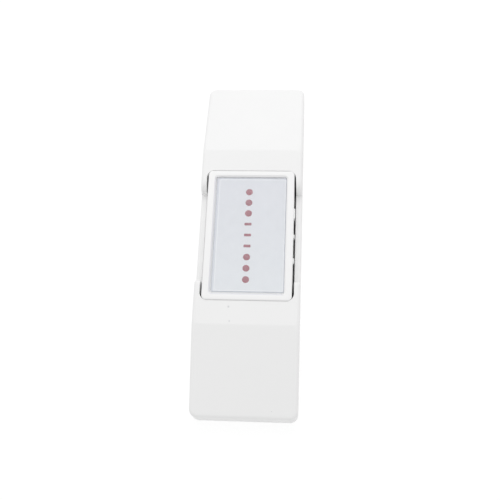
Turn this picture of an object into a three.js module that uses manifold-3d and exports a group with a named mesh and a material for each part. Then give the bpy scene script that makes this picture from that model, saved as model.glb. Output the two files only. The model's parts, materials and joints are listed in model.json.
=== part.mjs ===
// Surface-mounted panic button, 40 x 138 x 16.6 mm, lying on its flat back.
// Origin: centre of the back face. +X right, +Y to the upper end, +Z out of the front. Millimetres.
import * as THREE from "three";
import { mergeVertices } from "three/addons/utils/BufferGeometryUtils.js";
import Module from "manifold-3d";

const wasm = await Module();
wasm.setup();

// Housing
const bodyWidth = 40;
const bodyLength = 138;
const plateauHeight = 16.1;
const endHeight = 7.9;
const creaseY = 35.9;
const planRadius = 3;
const longEdgeRadius = 1.2;
const endEdgeRadius = 1.5;
const sideWall = 2.28;
const endWall = 2.2;
const topWall = 2.2;
const cavityRadius = 1;

// Window in the front cover and the notches in its two side rails
const windowLength = 53.4;
const windowMiddleY = 0.05;
const windowRadius = 3;
const notchFloor = 11.4;
const notchUpperY = 18.3;
const notchLowerY = -18.8;
const notchUpperRoll = 3.1;
const notchLowerRoll = 1.5;

// Push button
const buttonProud = 0.5;
const buttonSideGap = 0.77;
const buttonLowerGap = 0.12;
const buttonUpperGap = 0.3;
const buttonRadius = 1.8;
const buttonTopRound = 0.4;
const buttonTravel = 1.5;
const skirtWall = 1.5;
const skirtDepth = 7.2;
const bezelWidth = 2.5;
const bezelEndWidth = 2;
const ledgeWidth = 0.45;
const ledgeDepth = 0.3;
const pocketRadius = 0.9;
const webThickness = 1;
const lipReach = 2;
const lipThickness = 1.2;
const lipWidth = 5;
const lipSpacing = 16;

// Guide ribs on the sides of the button: where along Y, and how broad
const guideRibs = [
  { y: 10, width: 4 },
  { y: 0.5, width: 1.2 },
  { y: -9.5, width: 1.8 },
];
const guideRibTop = 3.6;

// Window, label and its print
const windowRecess = 0.3;
const windowThickness = 0.5;
const cardSideMargin = 0.25;
const cardEndMargin = 0.6;
const cardShiftX = 0.2;
const cardShiftY = 0.3;
const cardThickness = 0.3;
const cardRadius = 0.5;
const printHeight = 0.1;
const markCount = 9;
const markPitch = 4.5;
const markMiddleX = -0.6;
const markMiddleY = -0.4;
const barWidth = 2.7;
const barLength = 1.1;
const dotRadius = 1.35;

// Back plate
const plateThickness = 2;
const rimThickness = 1.2;
const rimHeight = 1.6;
const cableEntryWidth = 16;
const cableEntryLength = 12;
const cableEntryY = 49;
const cableEntryRadius = 2;
const wallSlotWidth = 4.4;
const wallSlotLength = 8;
const wallSlotSink = 0.8;
const wallSlotSinkMargin = 1.8;
const upperWallSlotY = 60.2;
const lowerWallSlotY = -52;
const catchY = 45;
const catchWidth = 6;
const catchThickness = 1.3;
const catchHeight = 5.2;
const catchNose = 0.55;
const catchNoseHeight = 1.6;
const stopWidth = 3;
const stopLength = 4;
const stopSpacing = 36;
const restRibWidth = 1.5;
const restRibPitch = 10;

// Return springs
const springSpacing = 36;
const springShiftY = -0.6;
const springOuterRadius = 3.2;
const springWire = 0.5;
const springTurns = 7;
const springPostRadius = 2.1;
const springPostHeight = 7;
const springPegRadius = 2;
const springPegLength = 3;

// Circuit board and its screws
const boardWidth = 26;
const boardLowerY = -13;
const boardUpperY = 40;
const boardThickness = 1.2;
const boardStandoff = 1.4;
const boardRadius = 1;
const boardScrewX = 10;
const boardScrewLowerY = -9.5;
const boardScrewUpperY = 24;
const bossRadius = 2.8;
const screwHeadRadius = 2.2;
const screwHeadHeight = 1.4;
const screwShankRadius = 1;
const screwLength = 4.2;
const screwSlotWidth = 0.6;
const screwSlotDepth = 0.6;

// Snap switch
const switchWidth = 6.4;
const switchLength = 19.8;
const switchHeight = 5.5;
const switchHoleRadius = 1.1;
const switchHoleMargin = 0.6;
const switchHoleSpacing = 9.5;
const plungerWidth = 1.6;
const plungerLength = 2.4;
const plungerDepth = 2.2;
const leverPivotInset = 1.4;
const leverLength = 17;
const leverWidth = 3.4;
const leverThickness = 0.4;
const leverEyeRadius = 1;
const leverEyeBore = 0.6;
const leverPinRadius = 0.4;
const leverToPlunger = 5.5;
const leverToButton = 15;
const earThickness = 0.8;
const pressPadWidth = 2.4;
const pinWidth = 0.9;
const pinThickness = 0.5;
const pinReach = 1;
const switchPinPitch = 5;
const switchPinCount = 3;

// Terminal block
const terminalCount = 4;
const terminalPitch = 5;
const terminalDepth = 8;
const terminalHeight = 7.2;
const terminalLowerY = 29.5;
const terminalFloor = 1.2;
const wellWidth = 3.9;
const wellLength = 4.6;
const mouthWidth = 3;
const mouthHeight = 2.8;
const clampWall = 0.6;
const clampHeight = 4;
const clampScrewRadius = 0.9;
const clampScrewHeadRadius = 1.5;
const clampScrewHeadHeight = 1.2;

// Clearances
const plateGap = 0.3;
const runningGap = 0.3;
const boreGap = 0.2;
const holeGap = 0.3;
const pocketGap = 0.2;
const cutMargin = 1;

// Derived sizes shared by several pieces
const halfWidth = bodyWidth / 2;
const halfLength = bodyLength / 2;
const innerHalfWidth = halfWidth - sideWall;
const innerHalfLength = halfLength - endWall;
const slope = Math.atan2(plateauHeight - endHeight, halfLength - creaseY);
const ceiling = plateauHeight - topWall;

const windowUpperY = windowMiddleY + windowLength / 2;
const windowLowerY = windowMiddleY - windowLength / 2;
const buttonHalfWidth = innerHalfWidth - buttonSideGap;
const buttonUpperY = windowUpperY - buttonUpperGap;
const buttonLowerY = windowLowerY + buttonLowerGap;
const buttonMiddleY = (buttonUpperY + buttonLowerY) / 2;
const buttonLength = buttonUpperY - buttonLowerY;
const springMiddleY = buttonMiddleY + springShiftY;
const buttonTop = plateauHeight + buttonProud;
const skirtBottom = buttonTop - skirtDepth;
const windowTop = buttonTop - windowRecess;
const windowBottom = windowTop - windowThickness;
const webTop = windowBottom - printHeight - cardThickness;
const webBottom = webTop - webThickness;
const pocketWidth = 2 * (buttonHalfWidth - bezelWidth - ledgeWidth);
const pocketLength = buttonLength - 2 * (bezelEndWidth + ledgeWidth);
const cardWidth = pocketWidth - 2 * cardSideMargin;
const cardLength = pocketLength - 2 * cardEndMargin;
const cardMiddleY = buttonMiddleY + cardShiftY;

const boardBottom = plateThickness + boardStandoff;
const boardTop = boardBottom + boardThickness;
const springBottom = plateThickness;

const switchTop = boardTop + switchHeight;
const leverPivotY = switchLength / 2 - leverPivotInset;
const leverPressed = Math.asin(buttonTravel / leverToButton);
const leverPivotZ = switchTop + runningGap + leverEyeRadius;
const leverFreeZ = leverPivotZ - leverEyeRadius * Math.cos(leverPressed);
const plungerTravel = buttonTravel * (leverToPlunger / leverToButton);
const plungerTop = leverFreeZ + leverToPlunger * Math.sin(leverPressed) - runningGap;
const pressPadBottom = leverFreeZ + leverThickness + buttonTravel + runningGap;

const colours = {
  shell: 0xf4f4f2,
  plate: 0xe6e6e2,
  clear: 0xf2f6fa,
  card: 0xdcdfe4,
  print: 0x963c4b,
  blank: 0xffffff,
  plunger: 0xb5443a,
  board: 0x2f6b45,
  black: 0x26272a,
  terminal: 0x3c7a5c,
  steel: 0xb9bcc0,
  brass: 0xc9a45c,
};

// Solids

function solid(geometry) {
  const bare = geometry.clone();
  bare.deleteAttribute("normal");
  bare.deleteAttribute("uv");
  const merged = mergeVertices(bare);
  return new wasm.Manifold(
    new wasm.Mesh({
      numProp: 3,
      vertProperties: merged.attributes.position.array,
      triVerts: new Uint32Array(merged.index.array),
    }),
  );
}

function geometryOf(manifold) {
  const mesh = manifold.getMesh();
  const indexed = new THREE.BufferGeometry();
  indexed.setAttribute("position", new THREE.BufferAttribute(mesh.vertProperties, 3));
  indexed.setIndex(new THREE.BufferAttribute(mesh.triVerts, 1));
  const faceted = indexed.toNonIndexed();
  faceted.computeVertexNormals();
  return faceted;
}

function joined(pieces) {
  return pieces.reduce((whole, piece) => whole.add(piece));
}

function cutBy(whole, cutters) {
  return cutters.reduce((left, cutter) => left.subtract(cutter), whole);
}

function box(x, y, z) {
  const geometry = new THREE.BoxGeometry(x[1] - x[0], y[1] - y[0], z[1] - z[0]);
  geometry.translate((x[0] + x[1]) / 2, (y[0] + y[1]) / 2, (z[0] + z[1]) / 2);
  return solid(geometry);
}

function around(middle, width) {
  return [middle - width / 2, middle + width / 2];
}

// An upright round rod, or a lying one whose axis runs along X
function rod(radius, x, y, z, sides = 24) {
  const geometry = new THREE.CylinderGeometry(radius, radius, z[1] - z[0], sides);
  geometry.rotateX(Math.PI / 2);
  geometry.translate(x, y, (z[0] + z[1]) / 2);
  return solid(geometry);
}

function crossRod(radius, x, y, z, sides = 20) {
  const geometry = new THREE.CylinderGeometry(radius, radius, x[1] - x[0], sides);
  geometry.rotateZ(Math.PI / 2);
  geometry.translate((x[0] + x[1]) / 2, y, z);
  return solid(geometry);
}

// A closed outline through [x, y, radius] corners: each corner is rounded by an arc of its radius
function outline(corners) {
  const shape = new THREE.Shape();
  corners.forEach(([x, y, radius = 0], i) => {
    const corner = new THREE.Vector2(x, y);
    const back = new THREE.Vector2(...corners.at(i - 1)).sub(corner).normalize();
    const ahead = new THREE.Vector2(...corners[(i + 1) % corners.length]).sub(corner).normalize();
    const half = Math.acos(back.dot(ahead)) / 2;
    const start = corner.clone().addScaledVector(back, radius / Math.tan(half));
    if (i === 0) shape.moveTo(start.x, start.y);
    else shape.lineTo(start.x, start.y);
    if (radius === 0) return;
    const end = corner.clone().addScaledVector(ahead, radius / Math.tan(half));
    const inward = back.clone().add(ahead).normalize();
    const centre = corner.clone().addScaledVector(inward, radius / Math.sin(half));
    const from = start.sub(centre).angle();
    const to = end.sub(centre).angle();
    shape.absarc(centre.x, centre.y, radius, from, to, back.cross(ahead) > 0);
  });
  shape.closePath();
  return shape;
}

function roundedRectangle(width, length, radius) {
  const x = width / 2;
  const y = length / 2;
  return outline([
    [-x, -y, radius],
    [x, -y, radius],
    [x, y, radius],
    [-x, y, radius],
  ]);
}

function extruded(shape, depth, curveSegments = 3) {
  return new THREE.ExtrudeGeometry(shape, { depth, bevelEnabled: false, curveSegments });
}

// An outline drawn in X and Y, raised along Z
function upright(shape, y, z) {
  return solid(extruded(shape, z[1] - z[0]).translate(0, y, z[0]));
}

// An outline drawn in Y and Z, drawn out along X
const acrossX = new THREE.Matrix4().makeBasis(
  new THREE.Vector3(0, 1, 0),
  new THREE.Vector3(0, 0, 1),
  new THREE.Vector3(1, 0, 0),
);

function sideways(shape, x) {
  return solid(extruded(shape, x[1] - x[0]).applyMatrix4(acrossX).translate(x[0], 0, 0));
}

// An outline drawn in X and Z, drawn out along Y
const alongY = new THREE.Matrix4().makeBasis(
  new THREE.Vector3(1, 0, 0),
  new THREE.Vector3(0, 0, 1),
  new THREE.Vector3(0, -1, 0),
);

function lengthways(shape, y) {
  return extruded(shape, y[1] - y[0]).applyMatrix4(alongY).translate(0, y[1], 0);
}

// An upright block whose upper edge is rounded
function cushioned(width, length, radius, round, y, z) {
  const shape = roundedRectangle(width, length, radius);
  const geometry = new THREE.ExtrudeGeometry(shape, {
    depth: z[1] - z[0],
    bevelThickness: round,
    bevelSize: round,
    bevelOffset: -round,
    bevelSegments: 4,
    curveSegments: 3,
  });
  geometry.translate(0, y, z[0] - round);
  const keep = box([-width, width], [y - length, y + length], [z[0], z[1] + cutMargin]);
  return solid(geometry).intersect(keep);
}

function mirrored(manifold) {
  return manifold.mirror([1, 0, 0]);
}

function piece(name, manifold, colour, finish = {}) {
  const look = { color: colour, roughness: 0.5, metalness: 0, ...finish };
  const material = new THREE.MeshStandardMaterial(look);
  const mesh = new THREE.Mesh(geometryOf(manifold), material);
  mesh.name = name;
  return mesh;
}

// Housing

// Height of the sloping face at y, or of the surface that lies a wall's thickness under it
function slabHeight(y, wall) {
  return plateauHeight - (Math.abs(y) - creaseY) * Math.tan(slope) - wall / Math.cos(slope);
}

function housingProfile(halfLong, wall, radius) {
  const crease = creaseY - wall * Math.tan(slope / 2);
  return outline([
    [-halfLong, 0],
    [halfLong, 0],
    [halfLong, slabHeight(halfLong, wall), radius],
    [crease, plateauHeight - wall],
    [-crease, plateauHeight - wall],
    [-halfLong, slabHeight(-halfLong, wall), radius],
  ]);
}

// The long bar whose top carries the rounded long edges; tilted over a crease, it edges an end slab
function edgedBar(tilt) {
  const section = outline([
    [-halfWidth, -bodyLength],
    [halfWidth, -bodyLength],
    [halfWidth, 0, longEdgeRadius],
    [-halfWidth, 0, longEdgeRadius],
  ]);
  const bar = lengthways(section, [-2 * bodyLength, 2 * bodyLength]);
  bar.rotateX(-tilt);
  bar.translate(0, Math.sign(tilt) * creaseY, plateauHeight);
  return solid(bar);
}

function housingBlock() {
  const plan = upright(roundedRectangle(bodyWidth, bodyLength, planRadius), 0, [0, 2 * plateauHeight]);
  const profile = sideways(housingProfile(halfLength, 0, endEdgeRadius), [-bodyWidth, bodyWidth]);
  return [0, slope, -slope].reduce((block, tilt) => block.intersect(edgedBar(tilt)), plan.intersect(profile));
}

function housingCavity() {
  const plan = upright(
    roundedRectangle(2 * innerHalfWidth, 2 * innerHalfLength, cavityRadius),
    0,
    [-cutMargin, 2 * plateauHeight],
  );
  const profile = sideways(housingProfile(innerHalfLength, topWall, 0), [-bodyWidth, bodyWidth]);
  const mouth = box([-bodyWidth, bodyWidth], [-bodyLength, bodyLength], [-cutMargin, ceiling / 2]);
  return plan.intersect(profile.add(mouth));
}

function notchCutter() {
  const above = plateauHeight + cutMargin;
  const shape = outline([
    [notchLowerY, notchFloor],
    [notchUpperY, notchFloor],
    [notchUpperY, above],
    [notchLowerY, above],
  ]);
  return sideways(shape, [-bodyWidth, bodyWidth]);
}

// What a notch's end leaves over when the rail rolls down into it with a round nose
function noseCutter(y, side, roll) {
  const corner = [around(y + (side * roll) / 2, roll), around(plateauHeight, 2 * roll)];
  const across = [-bodyWidth, bodyWidth];
  const square = box(across, corner[0], corner[1]);
  const nose = crossRod(roll, across, y + side * roll, plateauHeight - roll, 32);
  return square.subtract(nose);
}

function catchPocket() {
  const x = [innerHalfWidth - cutMargin, innerHalfWidth + catchNose + runningGap];
  const z = [catchHookZ() - runningGap, plateThickness + catchHeight + runningGap];
  return box(x, around(0, catchWidth + 2 * runningGap), z);
}

function catchHookZ() {
  return plateThickness + catchHeight - catchNoseHeight;
}

function catchPlaces() {
  return [-catchY, catchY];
}

function restRibs() {
  const ribs = [];
  const bottom = plateThickness + rimHeight;
  for (const end of [-1, 1]) {
    for (const x of [-restRibPitch, 0, restRibPitch]) {
      const reach = [innerHalfLength - rimThickness - 2 * plateGap, innerHalfLength + endWall / 2];
      const y = end > 0 ? reach : reach.map((edge) => -edge).reverse();
      ribs.push(box(around(x, restRibWidth), y, [bottom, slabHeight(innerHalfLength, topWall / 2)]));
    }
  }
  return ribs;
}

function frontCover() {
  const opening = upright(
    roundedRectangle(2 * innerHalfWidth, windowLength, windowRadius),
    windowMiddleY,
    [ceiling - cutMargin, plateauHeight + cutMargin],
  );
  const pockets = catchPlaces().flatMap((y) => {
    const pocket = catchPocket().translate([0, y, 0]);
    return [pocket, mirrored(pocket)];
  });
  const shell = joined([housingBlock().subtract(housingCavity()), ...restRibs()]);
  return cutBy(shell, [
    opening,
    notchCutter(),
    noseCutter(notchUpperY, 1, notchUpperRoll),
    noseCutter(notchLowerY, -1, notchLowerRoll),
    ...pockets,
  ]);
}

// Back plate

function catchArm() {
  const inner = innerHalfWidth - plateGap - catchThickness;
  const outer = innerHalfWidth - plateGap;
  const nose = innerHalfWidth + catchNose;
  const top = plateThickness + catchHeight;
  const shape = outline([
    [inner, plateThickness - plateThickness / 2],
    [outer, plateThickness - plateThickness / 2],
    [outer, catchHookZ()],
    [nose, catchHookZ()],
    [nose, catchHookZ() + catchNoseHeight / 3],
    [outer, top],
    [inner, top],
  ]);
  return solid(lengthways(shape, around(0, catchWidth)));
}

function wallSlot(y) {
  const through = upright(
    roundedRectangle(wallSlotWidth, wallSlotLength, wallSlotWidth / 2.01),
    y,
    [-cutMargin, plateThickness + cutMargin],
  );
  const sinkWidth = wallSlotWidth + 2 * wallSlotSinkMargin;
  const sinkLength = wallSlotLength + 2 * wallSlotSinkMargin;
  const sink = upright(
    roundedRectangle(sinkWidth, sinkLength, sinkWidth / 2.01),
    y,
    [plateThickness - wallSlotSink, plateThickness + cutMargin],
  );
  return through.add(sink);
}

function springPlaces() {
  return [springMiddleY + springSpacing / 2, springMiddleY - springSpacing / 2];
}

function boardScrewPlaces() {
  return [
    [-boardScrewX, boardScrewLowerY],
    [boardScrewX, boardScrewLowerY],
    [-boardScrewX, boardScrewUpperY],
    [boardScrewX, boardScrewUpperY],
  ];
}

function buttonStops() {
  const top = skirtBottom - buttonTravel - runningGap;
  const outer = innerHalfWidth - plateGap;
  return [-1, 1].map((end) => {
    const y = around(springMiddleY + (end * stopSpacing) / 2, stopLength);
    return box([outer - stopWidth, outer], y, [plateThickness / 2, top]);
  });
}

function backPlate() {
  const width = 2 * (innerHalfWidth - plateGap);
  const length = 2 * (innerHalfLength - plateGap);
  const radius = cavityRadius;
  const whole = upright(roundedRectangle(width, length, radius), 0, [0, plateThickness + rimHeight]);
  const inside = upright(
    roundedRectangle(width - 2 * rimThickness, length - 2 * rimThickness, radius / 2),
    0,
    [plateThickness, plateThickness + rimHeight + cutMargin],
  );
  const bosses = boardScrewPlaces().map(([x, y]) => rod(bossRadius, x, y, [plateThickness / 2, boardBottom]));
  const posts = springPlaces().map((y) =>
    rod(springPostRadius, 0, y, [plateThickness / 2, plateThickness + springPostHeight]),
  );
  const arms = catchPlaces().flatMap((y) => {
    const arm = catchArm().translate([0, y, 0]);
    return [arm, mirrored(arm)];
  });
  const stops = buttonStops().flatMap((stop) => [stop, mirrored(stop)]);
  const pilots = boardScrewPlaces().map(([x, y]) =>
    rod(screwShankRadius + holeGap, x, y, [boardTop - screwLength - holeGap, boardTop]),
  );
  const cableEntry = upright(
    roundedRectangle(cableEntryWidth, cableEntryLength, cableEntryRadius),
    cableEntryY,
    [-cutMargin, plateThickness + cutMargin],
  );
  const tray = joined([whole.subtract(inside), ...bosses, ...posts, ...arms, ...stops]);
  return cutBy(tray, [...pilots, cableEntry, wallSlot(upperWallSlotY), wallSlot(lowerWallSlotY)]);
}

// Push button

function buttonLips() {
  const z = [ceiling - runningGap - lipThickness, ceiling - runningGap];
  const ends = [
    [buttonUpperY - skirtWall, windowUpperY + lipReach],
    [windowLowerY - lipReach, buttonLowerY + skirtWall],
  ];
  return ends.flatMap((y) => [-1, 1].map((side) => box(around((side * lipSpacing) / 2, lipWidth), y, z)));
}

function buttonGuides() {
  const x = [buttonHalfWidth - skirtWall / 2, innerHalfWidth - runningGap];
  return guideRibs.map(({ y, width }) => box(x, around(y, width), [skirtBottom, buttonTop - guideRibTop]));
}

function buttonFrame() {
  const cap = cushioned(
    2 * buttonHalfWidth,
    buttonLength,
    buttonRadius,
    buttonTopRound,
    buttonMiddleY,
    [skirtBottom, buttonTop],
  );
  const pocket = upright(
    roundedRectangle(pocketWidth, pocketLength, pocketRadius),
    buttonMiddleY,
    [webTop, buttonTop + cutMargin],
  );
  const ledge = upright(
    roundedRectangle(pocketWidth + 2 * ledgeWidth, pocketLength + 2 * ledgeWidth, pocketRadius + ledgeWidth),
    buttonMiddleY,
    [buttonTop - ledgeDepth, buttonTop + cutMargin],
  );
  const hollow = upright(
    roundedRectangle(2 * (buttonHalfWidth - skirtWall), buttonLength - 2 * skirtWall, buttonRadius / 2),
    buttonMiddleY,
    [skirtBottom - cutMargin, webBottom],
  );
  const pegs = springPlaces().map((y) =>
    rod(springPegRadius, 0, y, [webBottom - springPegLength, webBottom + webThickness / 2]),
  );
  const padY = around(leverPivotY - leverToButton, pressPadWidth);
  const pressPad = box(around(0, pressPadWidth), padY, [pressPadBottom, webBottom + webThickness / 2]);
  const guides = buttonGuides().flatMap((rib) => [rib, mirrored(rib)]);
  return joined([cutBy(cap, [pocket, ledge, hollow]), ...pegs, pressPad, ...guides, ...buttonLips()]);
}

function buttonWindow() {
  const shape = roundedRectangle(pocketWidth - 2 * pocketGap, pocketLength - 2 * pocketGap, pocketRadius);
  return upright(shape, buttonMiddleY, [windowBottom, windowTop]);
}

// Print on the card: a column of marks at one pitch, three round, three long and three round
function printMarks() {
  const marks = [];
  const z = [webTop + cardThickness / 2, windowBottom];
  for (let i = 0; i < markCount; i += 1) {
    const y = markMiddleY + (i - (markCount - 1) / 2) * markPitch;
    const bar = Math.floor((3 * i) / markCount) === 1;
    if (bar) marks.push(box(around(markMiddleX, barWidth), around(y, barLength), z));
    else marks.push(rod(dotRadius, markMiddleX, y, z));
  }
  return marks;
}

function labelCard() {
  const card = upright(roundedRectangle(cardWidth, cardLength, cardRadius), cardMiddleY, [
    webTop,
    webTop + cardThickness,
  ]);
  return joined([card.translate([cardShiftX, 0, 0]), ...printMarks()]);
}

// The card carries two colours: what stands above its face is print
function labelCardMesh() {
  const mesh = piece("label_card", labelCard(), colours.blank, { vertexColors: true, roughness: 0.35 });
  const position = mesh.geometry.attributes.position;
  const tint = new THREE.Float32BufferAttribute(new Float32Array(position.count * 3), 3);
  const face = webTop + cardThickness;
  for (let i = 0; i < position.count; i += 3) {
    const height = Math.max(position.getZ(i), position.getZ(i + 1), position.getZ(i + 2));
    const colour = new THREE.Color(height > face + printHeight / 2 ? colours.print : colours.card);
    for (let corner = i; corner < i + 3; corner += 1) tint.setXYZ(corner, colour.r, colour.g, colour.b);
  }
  mesh.geometry.setAttribute("color", tint);
  return mesh;
}

// Return springs

class SpringCurve extends THREE.Curve {
  constructor(y, z) {
    super();
    this.y = y;
    this.z = z;
  }

  getPoint(t, target = new THREE.Vector3()) {
    const angle = 2 * Math.PI * springTurns * t;
    const radius = springOuterRadius - springWire / 2;
    const height = THREE.MathUtils.lerp(this.z[0], this.z[1], t);
    return target.set(radius * Math.cos(angle), this.y + radius * Math.sin(angle), height);
  }
}

function returnSpring(y) {
  const margin = springWire / 2 + boreGap;
  const curve = new SpringCurve(y, [springBottom + margin, webBottom - margin]);
  const wire = new THREE.Shape().absarc(0, 0, springWire / 2, 0, 2 * Math.PI);
  const steps = springTurns * 14;
  const options = { steps, curveSegments: 3, bevelEnabled: false, extrudePath: curve };
  return solid(new THREE.ExtrudeGeometry(wire, options));
}

// Circuit board

function boardMiddleY() {
  return (boardLowerY + boardUpperY) / 2;
}

function pinHole(x, y) {
  const z = [boardBottom - cutMargin, boardTop + cutMargin];
  return box(around(x, pinWidth + 2 * holeGap), around(y, pinThickness + 2 * holeGap), z);
}

function circuitBoard() {
  const through = [boardBottom - cutMargin, boardTop + cutMargin];
  const blank = upright(
    roundedRectangle(boardWidth, boardUpperY - boardLowerY, boardRadius),
    boardMiddleY(),
    [boardBottom, boardTop],
  );
  const screwHoles = boardScrewPlaces().map(([x, y]) => rod(screwShankRadius + holeGap, x, y, through));
  const springHoles = springPlaces().map((y) => rod(springOuterRadius + 2 * runningGap, 0, y, through));
  const switchHoles = switchPinPlaces().map((y) => pinHole(0, y));
  const terminalHoles = terminalPlaces().map((x) => pinHole(x, clampMiddleY()));
  return cutBy(blank, [...screwHoles, ...springHoles, ...switchHoles, ...terminalHoles]);
}

// A slotted screw whose head rests at seat height and whose shank points down
function slottedScrew(headRadius, headHeight, shankRadius, length, seat) {
  const profile = [
    [0, -length],
    [shankRadius, -length],
    [shankRadius, 0],
    [headRadius, 0],
    [headRadius, headHeight * 0.7],
    [headRadius * 0.8, headHeight],
    [0, headHeight],
  ].map(([x, y]) => new THREE.Vector2(x, y));
  const turned = new THREE.LatheGeometry(profile, 24).rotateX(Math.PI / 2).translate(0, 0, seat);
  const top = seat + headHeight;
  const slotDepth = [top - screwSlotDepth, top + cutMargin];
  const slot = box(around(0, 2 * headRadius + cutMargin), around(0, screwSlotWidth), slotDepth);
  return solid(turned).subtract(slot);
}

function boardScrew(x, y) {
  const screw = slottedScrew(screwHeadRadius, screwHeadHeight, screwShankRadius, screwLength, boardTop);
  return screw.translate([x, y, 0]);
}

// Snap switch

function plungerMiddleY() {
  return leverPivotY - leverToPlunger;
}

function switchPinPlaces() {
  return Array.from({ length: switchPinCount }, (_, i) => (i - (switchPinCount - 1) / 2) * switchPinPitch);
}

function switchBody() {
  const block = box(around(0, switchWidth), around(0, switchLength), [boardTop, switchTop]);
  const earReach = [switchTop - cutMargin, leverPivotZ + leverEyeRadius];
  const ears = [-1, 1].map((side) => {
    const x = side * (leverWidth / 2 + runningGap + earThickness / 2);
    return box(around(x, earThickness), around(leverPivotY, 2 * leverEyeRadius), earReach);
  });
  const across = [-bodyWidth, bodyWidth];
  const pivotBore = crossRod(leverPinRadius + boreGap, across, leverPivotY, leverPivotZ);
  const holeZ = boardTop + switchHoleRadius + switchHoleMargin;
  const mountingHoles = [-1, 1].map((end) =>
    crossRod(switchHoleRadius, across, (end * switchHoleSpacing) / 2, holeZ),
  );
  const plungerBore = box(
    around(0, plungerWidth + 2 * boreGap),
    around(plungerMiddleY(), plungerLength + 2 * boreGap),
    [plungerTop - plungerDepth - plungerTravel - runningGap, switchTop + cutMargin],
  );
  return cutBy(joined([block, ...ears]), [pivotBore, plungerBore, ...mountingHoles]);
}

function switchPlunger() {
  const z = [plungerTop - plungerDepth, plungerTop];
  return box(around(0, plungerWidth), around(plungerMiddleY(), plungerLength), z);
}

// The lever leaves the factory bent up: it is drawn pressed flat here and then tilted to its free angle
function switchLever() {
  const eye = new THREE.CylinderGeometry(leverEyeRadius, leverEyeRadius, leverWidth, 20).rotateZ(Math.PI / 2);
  const bladeZ = [-leverEyeRadius, leverThickness - leverEyeRadius];
  const blade = box(around(0, leverWidth), [-leverLength, 0], bladeZ);
  const bore = crossRod(leverEyeBore, [-bodyWidth, bodyWidth], 0, 0);
  return solid(eye)
    .add(blade)
    .subtract(bore)
    .rotate([THREE.MathUtils.radToDeg(-leverPressed), 0, 0])
    .translate([0, leverPivotY, leverPivotZ]);
}

function leverPin() {
  const reach = leverWidth + 2 * (runningGap + earThickness);
  return crossRod(leverPinRadius, around(0, reach), leverPivotY, leverPivotZ);
}

function switchPin(y) {
  return box(around(0, pinWidth), around(y, pinThickness), [boardBottom - pinReach, boardTop]);
}

// Terminal block

function terminalPlaces() {
  return Array.from({ length: terminalCount }, (_, i) => (i - (terminalCount - 1) / 2) * terminalPitch);
}

function clampMiddleY() {
  return terminalLowerY + terminalDepth / 2;
}

function terminalBlock() {
  const floor = boardTop + terminalFloor;
  const top = boardTop + terminalHeight;
  const middle = clampMiddleY();
  const block = box(
    around(0, terminalCount * terminalPitch),
    [terminalLowerY, terminalLowerY + terminalDepth],
    [boardTop, top],
  );
  const wells = terminalPlaces().map((x) =>
    box(around(x, wellWidth), around(middle, wellLength), [floor, top + cutMargin]),
  );
  const mouths = terminalPlaces().map((x) =>
    box(around(x, mouthWidth), [middle, middle + terminalDepth], [floor, floor + mouthHeight]),
  );
  const pinHoles = terminalPlaces().map((x) =>
    box(
      around(x, pinWidth + 2 * holeGap),
      around(middle, pinThickness + 2 * holeGap),
      [boardTop - cutMargin, floor + cutMargin],
    ),
  );
  return cutBy(block, [...wells, ...mouths, ...pinHoles]);
}

function terminalClamp(x) {
  const floor = boardTop + terminalFloor;
  const width = wellWidth - 2 * runningGap;
  const length = wellLength - 2 * runningGap;
  const middle = clampMiddleY();
  const cage = box(around(x, width), around(middle, length), [floor, floor + clampHeight]);
  const wireWay = box(
    around(x, width - 2 * clampWall),
    around(middle, 2 * length),
    [floor + clampWall, floor + clampHeight - 2 * clampWall],
  );
  const boreReach = [floor + clampHeight / 2, floor + clampHeight + cutMargin];
  const bore = rod(clampScrewRadius + boreGap, x, middle, boreReach);
  const pinDepth = [boardBottom - pinReach, floor + clampWall / 2];
  const pin = box(around(x, pinWidth), around(middle, pinThickness), pinDepth);
  return cutBy(cage, [wireWay, bore]).add(pin);
}

function terminalScrew(x) {
  const seat = boardTop + terminalFloor + clampHeight;
  const length = 3 * clampWall;
  const screw = slottedScrew(clampScrewHeadRadius, clampScrewHeadHeight, clampScrewRadius, length, seat);
  return screw.translate([x, clampMiddleY(), 0]);
}

// Assembly

function housing() {
  const group = new THREE.Group();
  group.add(piece("front_cover", frontCover(), colours.shell));
  group.add(piece("back_plate", backPlate(), colours.plate));
  return group;
}

function button() {
  const clear = { roughness: 0.1, transparent: true, opacity: 0.35 };
  const steel = { roughness: 0.3, metalness: 0.9 };
  const group = new THREE.Group();
  group.add(piece("button_frame", buttonFrame(), colours.shell));
  group.add(labelCardMesh());
  group.add(piece("button_window", buttonWindow(), colours.clear, clear));
  const [upper, lower] = springPlaces();
  group.add(piece("return_spring_upper", returnSpring(upper), colours.steel, steel));
  group.add(piece("return_spring_lower", returnSpring(lower), colours.steel, steel));
  return group;
}

function board() {
  const zinc = { roughness: 0.35, metalness: 0.9 };
  const group = new THREE.Group();
  group.add(piece("circuit_board", circuitBoard(), colours.board));
  boardScrewPlaces().forEach(([x, y], i) => {
    group.add(piece(`board_screw_${i + 1}`, boardScrew(x, y), colours.steel, zinc));
  });
  return group;
}

function snapSwitch() {
  const metal = { roughness: 0.3, metalness: 0.9 };
  const group = new THREE.Group();
  group.add(piece("switch_body", switchBody(), colours.black));
  group.add(piece("switch_plunger", switchPlunger(), colours.plunger));
  group.add(piece("switch_lever", switchLever(), colours.steel, metal));
  group.add(piece("switch_lever_pin", leverPin(), colours.steel, metal));
  switchPinPlaces().forEach((y, i) => {
    group.add(piece(`switch_pin_${i + 1}`, switchPin(y), colours.brass, metal));
  });
  return group;
}

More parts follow.
